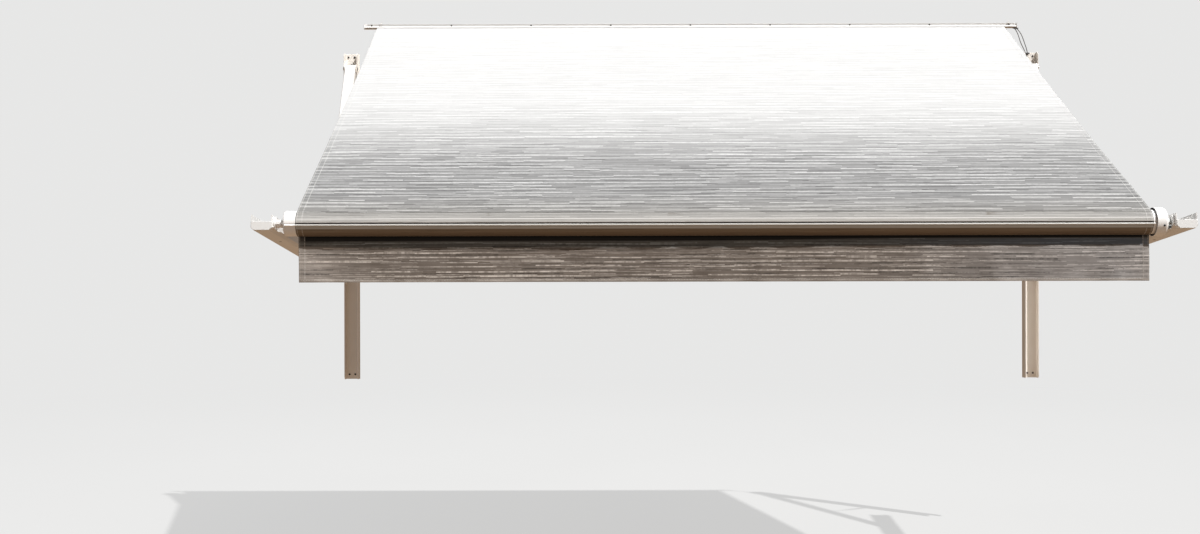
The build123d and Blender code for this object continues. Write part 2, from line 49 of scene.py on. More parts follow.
# ---------------------------------------------------------------- camera
cam_data = bpy.data.cameras.new("camera")
cam_data.lens, cam_data.sensor_width = 41.65, 36.0
camera = bpy.data.objects.new("camera", cam_data)
SCENE.collection.objects.link(camera)
camera.location = (-0.5345, -8.16, -1.413)
camera.rotation_euler = (Matrix.Rotation(math.radians(90), 3, "X") @ Matrix.Rotation(-0.0022, 3, "Z")).to_euler()
SCENE.camera = camera

# ---------------------------------------------------------------- shared dimensions, metres; u is out from the wall (-y), v is down (-z)
HEAD = (2.150, 1.223)
BEAD = (0.0105, 0.0065)
WRAP_R, FABRIC_HALF, VALANCE_HALF = 0.057, 1.840, 1.836
ROLL = WRAP_R + 0.001
_du, _dv = HEAD[0] - BEAD[0], HEAD[1] - BEAD[1]
_dist = math.hypot(_du, _dv)
SLOPE = math.atan2(_dv, _du) - math.asin(ROLL / _dist)
RUN = math.sqrt(_dist ** 2 - ROLL ** 2)
CU, CV = math.cos(SLOPE), math.sin(SLOPE)
ALONG = np.array([0.0, -CU, -CV])          # down the canopy
UPWARD = np.array([0.0, -CV, CU])          # canopy's upper side


# ---------------------------------------------------------------- small helpers
def new_object(name, verts, faces, smooth=True):
    mesh = bpy.data.meshes.new(name)
    mesh.from_pydata([tuple(map(float, v)) for v in verts], [], [tuple(int(i) for i in f) for f in faces])
    mesh.validate()
    mesh.update()
    if smooth:
        mesh.polygons.foreach_set("use_smooth", [True] * len(mesh.polygons))
    o = bpy.data.objects.new(name, mesh)
    SCENE.collection.objects.link(o)
    return o


def face_out(o):
    bm = bmesh.new()
    bm.from_mesh(o.data)
    bmesh.ops.recalc_face_normals(bm, faces=bm.faces)
    bm.to_mesh(o.data)
    bm.free()
    return o


def set_uv(o, values):
    """values: one (u, v) in metres for each vertex."""
    layer = o.data.uv_layers.new(name="flat")
    loops = np.zeros(len(o.data.loops), np.int32)
    o.data.loops.foreach_get("vertex_index", loops)
    layer.data.foreach_set("uv", np.asarray(values, np.float32)[loops].ravel())


def closed_sheet(name, top, bottom, uv):
    """A closed thin sheet from two grids of points, shape (nx, ns, 3)."""
    nx, ns = top.shape[:2]
    verts = np.concatenate([top.reshape(-1, 3), bottom.reshape(-1, 3)])
    n = nx * ns
    faces = []
    for i in range(nx - 1):
        for j in range(ns - 1):
            a, b, c, d = i * ns + j, (i + 1) * ns + j, (i + 1) * ns + j + 1, i * ns + j + 1
            faces.append((a, b, c, d))
            faces.append((n + a, n + d, n + c, n + b))
    rim = [i * ns for i in range(nx)] + [(nx - 1) * ns + j for j in range(1, ns)] + [i * ns + ns - 1 for i in range(nx - 2, -1, -1)] + [j for j in range(ns - 2, 0, -1)]
    for k, a in enumerate(rim):
        b = rim[(k + 1) % len(rim)]
        faces.append((a, n + a, n + b, b))
    o = new_object(name, verts, faces)
    set_uv(o, np.concatenate([uv.reshape(-1, 2), uv.reshape(-1, 2)]))
    return face_out(o)


def grid_at(field, fx, fs, x, s):
    """Bilinear reading of field[ix, is, :] at x, s (arrays)."""
    x, s = np.broadcast_arrays(np.asarray(x, float), np.asarray(s, float))
    ix = np.clip((x - fx[0]) / (fx[-1] - fx[0]) * (len(fx) - 1), 0, len(fx) - 1.000001)
    js = np.clip((s - fs[0]) / (fs[-1] - fs[0]) * (len(fs) - 1), 0, len(fs) - 1.000001)
    i, j = ix.astype(int), js.astype(int)
    a, b = (ix - i)[..., None], (js - j)[..., None]
    return (field[i, j] * (1 - a) * (1 - b) + field[i + 1, j] * a * (1 - b) + field[i, j + 1] * (1 - a) * b + field[i + 1, j + 1] * a * b)


# ---------------------------------------------------------------- node material tools
def material(name):
    m = bpy.data.materials.new(name)
    m.use_nodes = True
    nt = m.node_tree
    nt.nodes.clear()
    out = nt.nodes.new("ShaderNodeOutputMaterial")
    bsdf = nt.nodes.new("ShaderNodeBsdfPrincipled")
    nt.links.new(bsdf.outputs["BSDF"], out.inputs["Surface"])
    return m, nt, bsdf


class Graph:
    """Thin wrapper to write node graphs as expressions."""

    def __init__(self, nt):
        self.nt = nt

    def node(self, kind, **props):
        n = self.nt.nodes.new(kind)
        for k, v in props.items():
            setattr(n, k, v)
        return n

    def put(self, socket, value):
        if isinstance(value, bpy.types.NodeSocket):
            self.nt.links.new(value, socket)
        else:
            socket.default_value = value

    def math(self, op, a, b=0.0, c=0.0, clamp=False):
        n = self.node("ShaderNodeMath", operation=op, use_clamp=clamp)
        self.put(n.inputs[0], a)
        self.put(n.inputs[1], b)
        if op in ("MULTIPLY_ADD", "SMOOTH_MIN", "SMOOTH_MAX", "COMPARE"):
            self.put(n.inputs[2], c)
        return n.outputs[0]

    def step(self, v, lo, hi, a=0.0, b=1.0, smooth=True):
        n = self.node("ShaderNodeMapRange", interpolation_type="SMOOTHSTEP" if smooth else "LINEAR")
        for k, x in zip(("Value", "From Min", "From Max", "To Min", "To Max"), (v, lo, hi, a, b)):
            self.put(n.inputs[k], x)
        return n.outputs["Result"]

    def curve(self, v, points):
        """Piecewise smooth map of v, points are (v, value) with values from 0 to 1."""
        lo, hi = points[0][0], points[-1][0]
        n = self.node("ShaderNodeValToRGB")
        n.color_ramp.interpolation = "EASE"
        e = n.color_ramp.elements
        while len(e) < len(points):
            e.new(0.5)
        for k, (p, val) in enumerate(points):
            e[k].position = (p - lo) / (hi - lo)
            e[k].color = (val, val, val, 1)
        self.put(n.inputs["Fac"], self.step(v, lo, hi, smooth=False))
        return n.outputs["Color"]

    def ramp(self, v, points):
        """Colours along v, points are (v, colour)."""
        lo, hi = points[0][0], points[-1][0]
        n = self.node("ShaderNodeValToRGB")
        n.color_ramp.interpolation = "LINEAR"
        e = n.color_ramp.elements
        while len(e) < len(points):
            e.new(0.5)
        for k, (p, val) in enumerate(points):
            e[k].position = (p - lo) / (hi - lo)
            e[k].color = (*val, 1)
        self.put(n.inputs["Fac"], self.step(v, lo, hi, smooth=False))
        return n.outputs["Color"]

    def mix(self, fac, a, b, mode="MIX"):
        n = self.node("ShaderNodeMix", data_type="RGBA", blend_type=mode)
        self.put(n.inputs[0], fac)
        for s, v in ((n.inputs[6], a), (n.inputs[7], b)):
            self.put(s, (*v, 1.0) if isinstance(v, (tuple, list)) and len(v) == 3 else v)
        return n.outputs[2]

    def vec(self, x=0.0, y=0.0, z=0.0):
        n = self.node("ShaderNodeCombineXYZ")
        for k, v in enumerate((x, y, z)):
            self.put(n.inputs[k], v)
        return n.outputs[0]

    def split(self, v):
        n = self.node("ShaderNodeSeparateXYZ")
        self.put(n.inputs[0], v)
        return n.outputs

    def coords(self):
        return self.node("ShaderNodeTexCoord").outputs["Object"]

    def uv(self):
        return self.node("ShaderNodeUVMap", uv_map="flat").outputs[0]

    def scaled(self, v, s):
        n = self.node("ShaderNodeMapping")
        self.put(n.inputs["Vector"], v)
        n.inputs["Scale"].default_value = s
        return n.outputs[0]

    def noise(self, v, scale=1.0, detail=2.0, rough=0.5, distortion=0.0):
        n = self.node("ShaderNodeTexNoise")
        self.put(n.inputs["Vector"], v)
        n.inputs["Scale"].default_value = scale
        n.inputs["Detail"].default_value = detail
        n.inputs["Roughness"].default_value = rough
        n.inputs["Distortion"].default_value = distortion
        return n.outputs["Fac"]

    def bump(self, height, strength, distance, under=None):
        n = self.node("ShaderNodeBump")
        n.inputs["Strength"].default_value = strength
        n.inputs["Distance"].default_value = distance
        self.put(n.inputs["Height"], height)
        if under is not None:
            self.put(n.inputs["Normal"], under)
        return n.outputs["Normal"]


def painted(name, base, rough=0.36, dirt=0.10, dirt_color=(0.42, 0.36, 0.28), specular=0.5, coat=0.0, peel=0.05, metallic=0.0):
    m, nt, b = material(name)
    g = Graph(nt)
    p = g.coords()
    patches = g.noise(g.scaled(p, (3.0, 3.0, 3.0)), 1.0, 4.0, 0.6)
    streaks = g.noise(g.scaled(p, (60.0, 60.0, 5.0)), 1.0, 3.0, 0.55)
    specks = g.noise(g.scaled(p, (210.0, 210.0, 210.0)), 1.0, 2.0, 0.5)
    soil = g.math("MULTIPLY", g.step(patches, 0.46, 0.74), g.step(streaks, 0.40, 0.72))
    soil = g.math("ADD", soil, g.math("MULTIPLY", g.step(specks, 0.68, 0.76), 0.5), clamp=True)
    soil = g.math("MULTIPLY", soil, dirt * 2.2)
    tint = g.mix(g.math("MULTIPLY", g.step(patches, 0.3, 0.7), 0.35), base, tuple(c * 0.955 for c in base))
    g.put(b.inputs["Base Color"], g.mix(soil, tint, dirt_color))
    g.put(b.inputs["Roughness"], g.step(g.noise(g.scaled(p, (24.0, 24.0, 24.0)), 1.0, 4.0, 0.6), 0.3, 0.7, rough * 0.85, min(1.0, rough * 1.25), smooth=False))
    b.inputs["Metallic"].default_value = metallic
    b.inputs["Specular IOR Level"].default_value = specular
    if coat:
        b.inputs["Coat Weight"].default_value = coat
        b.inputs["Coat Roughness"].default_value = 0.08
    fine = g.noise(g.scaled(p, (900.0, 900.0, 900.0)), 1.0, 1.0, 0.5)
    g.put(b.inputs["Normal"], g.bump(fine, peel, 0.0004))
    return m


def metal(name, base, rough=0.32, grain=(30.0, 900.0, 900.0), scratch=0.08, spots=0.1):
    m, nt, b = material(name)
    g = Graph(nt)
    p = g.coords()
    lines = g.noise(g.scaled(p, grain), 1.0, 2.0, 0.6)
    cloud = g.noise(g.scaled(p, (45.0, 45.0, 45.0)), 1.0, 4.0, 0.65)
    tone = g.mix(g.step(cloud, 0.35, 0.7), base, tuple(c * (1 - spots * 1.8) for c in base))
    g.put(b.inputs["Base Color"], g.mix(g.math("MULTIPLY", g.step(lines, 0.45, 0.7), 0.35), tone, tuple(min(1.0, c * 1.25) for c in base)))
    b.inputs["Metallic"].default_value = 1.0
    g.put(b.inputs["Roughness"], g.step(lines, 0.3, 0.7, rough * 0.8, rough * 1.3, smooth=False))
    g.put(b.inputs["Normal"], g.bump(lines, scratch, 0.0002))
    return m


LIGHT = ((1.0, 0.0, 5.6, 0.92, 0.125, 0.80), (1.0, 0.0, 1.9, 0.30, 0.12, 0.95), (2.0, 0.25, 6.4, 0.50, 0.15, 0.52), (3.3, 0.1, 9.0, 0.52, 0.20, 0.40))
DARK = ((1.0, 0.5, 5.2, 0.90, 0.16, 1.0), (2.0, 0.75, 6.0, 0.48, 0.15, 0.66), (3.3, 0.6, 8.5, 0.48, 0.20, 0.42))


def dashes(g, x, s, rows, layers, seed, grit=0.45):
    """Rows of dashes across the cloth. A layer is (rows, phase, dashes per metre, share, half height, weight)."""
    ink = None
    for k, (scale, phase, length, share, half, weight) in enumerate(layers):
        lay = g.math("ADD", g.math("MULTIPLY", s, rows * scale), phase)
        row = g.math("FLOOR", lay)
        shift = g.node("ShaderNodeTexWhiteNoise", noise_dimensions="1D")
        g.put(shift.inputs["W"], g.math("ADD", row, 11.5 * k + seed))
        run = g.math("ADD", g.math("MULTIPLY", x, length), g.math("MULTIPLY", shift.outputs["Value"], 40.0))
        run = g.math("ADD", run, g.noise(g.vec(g.math("MULTIPLY", x, length * 0.6), g.math("MULTIPLY", row, 5.31), 0.5 + seed), 1.0, 1.0, 0.5))
        pick = g.node("ShaderNodeTexWhiteNoise", noise_dimensions="2D")
        g.put(pick.inputs["Vector"], g.vec(g.math("FLOOR", run), g.math("ADD", row, 3.7 * k + seed), 0.0))
        stray = g.math("MULTIPLY", g.math("SUBTRACT", g.split(pick.outputs["Color"])[1], 0.5), 0.36)
        off = g.math("ABSOLUTE", g.math("ADD", g.math("SUBTRACT", g.math("FRACT", lay), 0.5), stray))
        lit = g.step(pick.outputs["Value"], share, share * 0.15, 0.0, 1.0)
        grain = g.step(g.noise(g.vec(g.math("MULTIPLY", x, 46.0), g.math("MULTIPLY", row, 7.7), 1.5 + seed), 1.0, 2.0, 0.6), 0.32, 0.62, 1.0 - grit, 1.0)
        part = g.math("MULTIPLY", g.math("MULTIPLY", lit, g.step(off, half + 0.04, half - 0.04)), g.math("MULTIPLY", grain, weight))
        ink = part if ink is None else g.math("MAXIMUM", ink, part)
    return ink


def fabric(name, ground, streak, plain, rows=28.0, stitch_x=None, seam=None, hem=None, hem_low=None, rough=0.72, paler=None, cool_painted_shade=None, deep=((0.0, 0.72), (9.0, 0.72)), lean=None, grit=0.34):
    """Coated cloth with broken cross streaks. ground and streak are colours along the length, plain the colour of folds and thread."""
    m, nt, b = material(name)
    g = Graph(nt)
    xs = g.split(g.uv())
    x, s = xs[0], xs[1]
    wander = g.noise(g.vec(g.math("MULTIPLY", x, 0.9), g.math("MULTIPLY", s, 2.0), 2.5), 1.0, 1.0, 0.5)
    s_w = g.math("ADD", s, g.math("MULTIPLY", g.math("SUBTRACT", wander, 0.5), 0.012))
    ink = dashes(g, x, s_w, rows, LIGHT, 0.0, grit)
    shade = dashes(g, x, s_w, rows, DARK, 57.0, grit)
    at = s if lean is None else g.math("SUBTRACT", s, g.step(x, *lean))
    broad = g.noise(g.vec(g.math("MULTIPLY", x, 0.9), g.math("MULTIPLY", s, 20.0), 4.0), 1.0, 3.0, 0.6)
    low = g.ramp(at, ground)
    low = g.mix(shade, low, g.mix(1.0, low, g.ramp(s, [(p, (v, v, v)) for p, v in deep]), "MULTIPLY"))
    base = g.mix(ink, low, g.ramp(at, streak))
    # fine thread variation
    thread = g.noise(g.vec(g.math("MULTIPLY", x, 11.0), g.math("MULTIPLY", s, 240.0), 1.5), 1.0, 2.0, 0.6)
    weft = g.noise(g.vec(g.math("MULTIPLY", x, 700.0), g.math("MULTIPLY", s, 30.0), 3.5), 1.0, 1.0, 0.5)
    tone = g.math("ADD", g.step(thread, 0.3, 0.7, -0.07, 0.07, smooth=False), g.step(weft, 0.3, 0.7, -0.02, 0.02, smooth=False))
    tone = g.math("ADD", tone, g.step(broad, 0.3, 0.7, 0.02, -0.02, smooth=False))
    n = g.node("ShaderNodeHueSaturation")
    n.inputs["Fac"].default_value = 1.0
    g.put(n.inputs["Value"], g.math("ADD", tone, 1.0))
    g.put(n.inputs["Color"], base)
    colour = n.outputs["Color"]
    if paler is not None:
        for x0, x1, tint, weight in paler:
            pale = g.mix(ink, g.mix(shade, tint, tuple(c * deep[0][1] * 0.74 for c in tint)), tuple(c * 2.15 for c in tint))
            colour = g.mix(g.math("MULTIPLY", g.step(x, x0, x1, 0.0, weight), g.step(s, 5.036, 5.048)), colour, pale)
    # an optional bluish, dark tint over the band just under the top edge: painted shade lit by the sky
    if cool_painted_shade is not None:
        x0, x1, tint, weight = cool_painted_shade
        painted_shade_tint = g.mix(ink, tint, tuple(c * 1.9 for c in tint))
        colour = g.mix(g.math("MULTIPLY", g.math("MULTIPLY", g.step(x, x0, x1, 0.0, weight), g.step(s, 5.012, 5.016)), g.step(s, 5.048, 5.036)), colour, painted_shade_tint)
    height = g.math("MULTIPLY", ink, 0.35)
    ax = g.math("ABSOLUTE", x)
    if hem is not None:
        edge, tint, weight = hem
        colour = g.mix(g.step(ax, edge - 0.0015, edge + 0.0015, 0.0, weight), colour, tint)
    if hem_low is not None:
        edge, tint, weight = hem_low
        colour = g.mix(g.step(s, edge - 0.001, edge + 0.001, 0.0, weight), colour, tint)
    if stitch_x is not None:
        dots = g.step(g.math("ABSOLUTE", g.math("SUBTRACT", g.math("FRACT", g.math("MULTIPLY", s, 42.0)), 0.5)), 0.28, 0.36, 1.0, 0.35)
        for edge in stitch_x:
            near = g.step(g.math("ABSOLUTE", g.math("SUBTRACT", ax, edge)), 0.0006, 0.0026, 1.0, 0.0)
            colour = g.mix(g.math("MULTIPLY", g.math("MULTIPLY", near, dots), 0.45), colour, plain)
            height = g.math("SUBTRACT", height, near)
    if seam is not None:
        near = g.step(g.math("ABSOLUTE", g.math("SUBTRACT", s, seam)), 0.0016, 0.0034, 1.0, 0.0)
        colour = g.mix(g.math("MULTIPLY", near, 0.85), colour, plain)
    g.put(b.inputs["Base Color"], colour)
    g.put(b.inputs["Roughness"], g.step(thread, 0.3, 0.7, rough * 0.92, min(1.0, rough * 1.1), smooth=False))
    b.inputs["Specular IOR Level"].default_value = 0.22
    b.inputs["Sheen Weight"].default_value = 0.04
    b.inputs["Sheen Roughness"].default_value = 0.6
    weave = g.math("ADD", g.math("MULTIPLY", thread, 0.6), g.math("MULTIPLY", weft, 0.4))
    g.put(b.inputs["Normal"], g.bump(weave, 0.10, 0.0004, g.bump(height, 0.25, 0.0008)))
    return m


WHITE = (0.83, 0.825, 0.81)
M = {
    "rail": painted("rail_paint", WHITE, 0.34, 0.05),
    "arm": painted("arm_paint", WHITE, 0.36, 0.07),
    # warm white; its extra brightness over the arms' white is painted light standing in for bounce light from the wall
    "channel": painted("channel_paint", (0.94, 0.90, 0.845), 0.4, 0.07),
    "mould": painted("moulded_white", (0.90, 0.89, 0.875), 0.42, 0.05, peel=0.09),
    "mould_nose": painted("moulded_nose", (0.74, 0.74, 0.73), 0.5, 0.08, peel=0.12),
    "dark": painted("moulded_dark", (0.055, 0.055, 0.06), 0.5, 0.12, (0.2, 0.17, 0.13), peel=0.12),
    "rubber": painted("moulded_rubber", (0.05, 0.05, 0.052), 0.6, 0.12, (0.2, 0.17, 0.13), peel=0.12),
    "grey": painted("moulded_grey", (0.40, 0.415, 0.41), 0.45, 0.04, peel=0.05),
    "steel_dark": painted("steel_dark", (0.07, 0.068, 0.066), 0.4, 0.05, (0.12, 0.10, 0.08)),
    # near black roller tube so the groove in the fabric reads dark: painted shade in the slot
    "tube_painted_shade": metal("roller_tube_painted_shade", (0.10, 0.10, 0.10), 0.5, (14.0, 1100.0, 1100.0), 0.06, 0.06),
    "zinc": metal("zinc_plate", (0.50, 0.50, 0.51), 0.36, (160.0, 160.0, 160.0), 0.06, 0.16),
    "screw_black": painted("black_oxide", (0.018, 0.018, 0.020), 0.34, 0.05, (0.1, 0.09, 0.08)),
    "tube": metal("mill_aluminium", (0.72, 0.73, 0.74), 0.30, (14.0, 1100.0, 1100.0), 0.10, 0.06),
    "strip": painted("vinyl_strip", (0.49, 0.475, 0.445), 0.35, 0.04, peel=0.03),
    "bead": painted("vinyl_bead", (0.70, 0.69, 0.66), 0.5, 0.04, peel=0.03),
    "strut_black": painted("strut_enamel", (0.016, 0.016, 0.018), 0.22, 0.05, (0.12, 0.1, 0.08), coat=0.4, peel=0.02),
    "chrome": metal("strut_chrome", (0.82, 0.83, 0.84), 0.09, (900.0, 900.0, 900.0), 0.02, 0.03),
    "lead": painted("lead_jacket", (0.19, 0.19, 0.195), 0.55, 0.10, (0.25, 0.22, 0.18), peel=0.05),
    "thread": painted("stitch_thread", (0.56, 0.55, 0.525), 0.75, 0.06, peel=0.3),
}



def housing_paint():
    """Moulded white with fine ribs across the drum, their grooves darkened as painted shade; the open rim's inner face
    is painted near black as painted shade.
    """
    m, nt, b = material("housing_paint")
    g = Graph(nt)
    q = g.split(g.coords())
    dy, dz = g.math("ADD", q[1], HEAD[0]), g.math("ADD", q[2], HEAD[1])
    radius = g.math("SQRT", g.math("ADD", g.math("MULTIPLY", dy, dy), g.math("MULTIPLY", dz, dz)))
    # the open rim's inner face is painted near black: painted shade in the rim
    rim_painted_shade = g.math("MULTIPLY", g.step(radius, 0.0612, 0.0606), g.step(q[0], 1.8785, 1.8770))
    ribs = g.math("PINGPONG", g.math("MULTIPLY", q[0], 340.0), 0.5)
    band = g.math("MULTIPLY", g.step(q[0], 1.8585, 1.8600), g.step(q[0], 1.8960, 1.8940))
    cloud = g.noise(g.scaled(g.coords(), (30.0, 30.0, 30.0)), 1.0, 4.0, 0.6)
    tone = g.mix(g.math("MULTIPLY", g.step(cloud, 0.35, 0.7), 0.5), (0.925, 0.92, 0.91), (0.875, 0.87, 0.855))
    # the rib grooves get a darker colour: painted shade in the grooves
    tone = g.mix(g.math("MULTIPLY", g.math("MULTIPLY", g.step(ribs, 0.16, 0.05), band), 0.10), tone, (0.40, 0.39, 0.37))
    g.put(b.inputs["Base Color"], g.mix(rim_painted_shade, tone, (0.045, 0.042, 0.040)))
    g.put(b.inputs["Roughness"], g.step(cloud, 0.3, 0.7, 0.38, 0.5, smooth=False))
    g.put(b.inputs["Normal"], g.bump(g.math("MULTIPLY", ribs, band), 0.18, 0.0006))
    return m


M["housing"] = housing_paint()

PAINT = {
    "rail": ["awning_rail", "rail_stops", "rail_end_caps"],
    "channel": ["wall_channel_left", "wall_channel_right", "top_bracket_left", "top_bracket_right"],
    "arm": ["upper_arm_left", "upper_arm_right", "main_arm_left", "main_arm_right", "head_bracket_left", "head_bracket_right"],
    "mould": ["idler_cap", "drive_collar"],
    "housing": ["motor_housing"],
    "mould_nose": ["arm_nose_left", "arm_nose_right", "arm_tail_cap_left", "arm_tail_cap_right"],
    "rubber": ["lead_outlet", "lead_grommet", "idler_plug", "crown_bearing", "drive_wheel", "elbow_spacers_left", "elbow_spacers_right", "arm_sleeves_left", "arm_sleeves_right"],
    "grey": ["motor_coupling"],
    "steel_dark": ["rail_screws", "wall_screws", "bracket_bolts"],
    "zinc": ["pivot_pins", "strut_foot_left", "strut_foot_right", "strut_foot_pins", "elbow_pin_left", "elbow_pin_right",
             "head_bolts_left", "head_bolts_right", "strut_bolt_heads_left", "strut_bolt_heads_right", "idler_axle", "idler_bearing"],
    "screw_black": ["housing_screws"],
    "tube_painted_shade": ["roller_tube"],
    "tube": ["tubular_motor"],
    "strip": ["front_strip"],
    "bead": ["canopy_bead", "roller_beads"],
    "strut_black": ["strut_cylinder_left", "strut_cylinder_right"],
    "chrome": ["strut_rod_left", "strut_rod_right"],
    "lead": ["motor_lead", "light_lead"],
}
for key, names in PAINT.items():
    for n in names:
        d = NODES[n].data
        d.materials.clear()
        d.materials.append(M[key])

# ---------------------------------------------------------------- the two leads
LEAD_A = [(1906.0, 9.0, 21.0), (1917.5, 9.5, 40.0), (1926.0, 11.0, 64.0), (1933.0, 14.0, 92.0), (1942.0, 18.0, 118.0), (1953.5, 20.0, 140.0), (1962.0, 20.5, 163.0)]
LEAD_B = [(1917.0, 9.0, 19.5), (1930.5, 10.0, 35.0), (1942.5, 12.5, 56.0), (1951.5, 16.0, 83.0), (1959.5, 20.0, 111.0), (1968.0, 21.5, 137.0), (1974.0, 20.5, 163.0)]


def lead(name, route, node):
    curve = bpy.data.curves.new(name, "CURVE")
    curve.dimensions = "3D"
    curve.bevel_depth, curve.bevel_resolution, curve.resolution_u = 0.0025, 5, 10
    sp = curve.splines.new("NURBS")
    sp.points.add(len(route) - 1)
    for q, (x, u, v) in zip(sp.points, route):
        q.co = (x / 1000, -u / 1000, -v / 1000, 1.0)
    sp.order_u = 3
    sp.use_endpoint_u = True
    curve.materials.append(M["lead"])
    o = bpy.data.objects.new(name, curve)
    SCENE.collection.objects.link(o)
    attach(o, "root")
    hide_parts(node)
    x, u, v = route[0]
    return o


lead("lead_to_motor", LEAD_A, "motor_lead")
lead("lead_to_light", LEAD_B, "light_lead")


# ---------------------------------------------------------------- cloth simulation on a plain grid
def settle(verts, nx, ns, pinned, frames, tension, bending, mass, air=1.0):
    """Runs cloth on a grid of points under gravity and gives the settled points."""
    faces = [(i * ns + j, (i + 1) * ns + j, (i + 1) * ns + j + 1, i * ns + j + 1) for i in range(nx - 1) for j in range(ns - 1)]
    o = new_object("cloth_work", verts.reshape(-1, 3), faces)
    group = o.vertex_groups.new(name="pin")
    group.add([int(k) for k in pinned], 1.0, "REPLACE")
    mod = o.modifiers.new("Cloth", "CLOTH")
    st = mod.settings
    st.quality = 7
    st.mass = mass
    st.air_damping = air
    st.tension_stiffness = st.compression_stiffness = tension
    st.shear_stiffness = tension * 0.6
    st.bending_stiffness = bending
    st.tension_damping = st.compression_damping = 12.0
    st.bending_damping = 0.8
    st.vertex_group_mass = "pin"
    st.pin_stiffness = 1.0
    mod.collision_settings.use_collision = False
    mod.point_cache.frame_start, mod.point_cache.frame_end = 1, frames
    for f in range(1, frames + 1):
        SCENE.frame_set(f)
    e = o.evaluated_get(bpy.context.evaluated_depsgraph_get())
    settled = np.zeros(len(e.data.vertices) * 3)
    e.data.vertices.foreach_get("co", settled)
    mesh = o.data
    bpy.data.objects.remove(o)
    bpy.data.meshes.remove(mesh)
    SCENE.frame_set(1)
    return settled.reshape(nx, ns, 3)


# ---------------------------------------------------------------- canopy
S0, HEM = BEAD[0] * 0 + 0.0048, 0.030
fx = np.linspace(-FABRIC_HALF, FABRIC_HALF, 75)
fs = np.linspace(S0, RUN, 51)
gx, gs = np.meshgrid(fx, fs, indexing="ij")
flat = np.stack([gx, -BEAD[0] + gs * ALONG[1], -BEAD[1] + gs * ALONG[2]], -1)
n_s = len(fs)
pins = [i * n_s + j for i in range(len(fx)) for j in (0, n_s - 1)]
moved = settle(flat, len(fx), n_s, pins, 36, 60.0, 6.0, 0.05)
sag = -((moved - flat) @ UPWARD)
sag = np.clip(sag, 0, None)
sag = sag / max(sag.max(), 1e-6) * 0.013
sag = sag * (1 - np.exp(-((RUN - gs) / 0.33) ** 2))      # taut where it runs on to the roller, rolled out or in
sag_field = sag[..., None]


def canopy_point(x, s, lift):
    """A point lift above the sagging canopy; past the tangent line it follows the roller's curve."""
    x, s, lift = np.broadcast_arrays(np.asarray(x, float), np.asarray(s, float), np.asarray(lift, float))
    on = np.minimum(s, RUN)
    sag_here = grid_at(sag_field, fx, fs, x, on)[..., 0]
    p = np.stack([x, -BEAD[0] + on * ALONG[1], -BEAD[1] + on * ALONG[2]], -1)
    p = p + UPWARD * (lift - sag_here)[..., None]
    past = np.maximum(s - RUN, 0) / ROLL
    c = np.array([0, -HEAD[0], -HEAD[1]])
    r = (ROLL + lift)[..., None]
    bent = c + r * (np.cos(past)[..., None] * UPWARD + np.sin(past)[..., None] * ALONG)
    bent[..., 0] = x
    return np.where((s > RUN)[..., None], bent, p)


def hem_profile(x, half, hem, thin, thick):
    """Half thickness across the width: thicker over the folded hem, rounded at the edge."""
    a = half - np.abs(x)
    up = np.clip((hem - a) / 0.0025 + 0.5, 0, 1)
    up = up * up * (3 - 2 * up)
    edge = np.sqrt(np.clip(a / 0.0022, 0.02, 1))
    return (thin + (thick - thin) * up) * edge


def across(half, hem, coarse):
    edge = [0.0, 0.0003, 0.0009, 0.0022, 0.006, hem - 0.003, hem - 0.0012, hem, hem + 0.0012, hem + 0.003]
    inner = list(np.linspace(-(half - hem - 0.02), half - hem - 0.02, coarse))
    xs = [-(half - e) for e in edge] + inner + [half - e for e in edge]
    extra = [half - (0.006 + (hem - 0.009) * k / 3) for k in (1, 2)]
    return np.array(sorted(set(round(v, 6) for v in xs + extra + [-v for v in extra])))


LIP = math.radians(9.0) * ROLL
cx = across(FABRIC_HALF, HEM, 121)
cs = np.concatenate([np.linspace(S0, RUN, 96), RUN + np.linspace(0, LIP, 7)[1:]])
X, S = np.meshgrid(cx, cs, indexing="ij")
half_t = hem_profile(X, FABRIC_HALF, HEM, 0.0004, 0.00085)
ease = np.clip((RUN + LIP - S) / LIP, 0, 1)
top_lift = np.where(S > RUN, -0.0002 + (half_t + 0.0002) * ease, half_t)
low_lift = np.where(S > RUN, -0.0005 - (half_t - 0.0005) * ease, -half_t)
canopy = closed_sheet("canopy_cloth", canopy_point(X, S, top_lift), canopy_point(X, S, low_lift), np.stack([X, S], -1))
def greys(*pairs):
    return [(p, (v, v, v * 0.994)) for p, v in pairs]


M["canopy"] = fabric(
    "canopy_weave", plain=(0.60, 0.60, 0.58), deep=((0.0, 0.95), (0.9, 0.93), (1.17, 0.91), (1.45, 0.82), (1.75, 0.70), (1.95, 0.615), (2.52, 0.615)),
    ground=greys((0.0, 0.60), (0.4, 0.575), (0.9, 0.558), (1.17, 0.545), (1.45, 0.462), (1.70, 0.333), (1.92, 0.245), (2.10, 0.218), (2.30, 0.213)) + [(2.44, (0.217, 0.213, 0.205)), (2.50, (0.245, 0.238, 0.227))],
    streak=greys((0.0, 0.68), (0.60, 0.67), (1.17, 0.67), (1.56, 0.66), (1.92, 0.60), (2.15, 0.56)) + [(2.44, (0.525, 0.518, 0.502)), (2.50, (0.40, 0.39, 0.37))],
    stitch_x=(FABRIC_HALF - 0.0265, FABRIC_HALF - 0.005))
canopy.data.materials.append(M["canopy"])


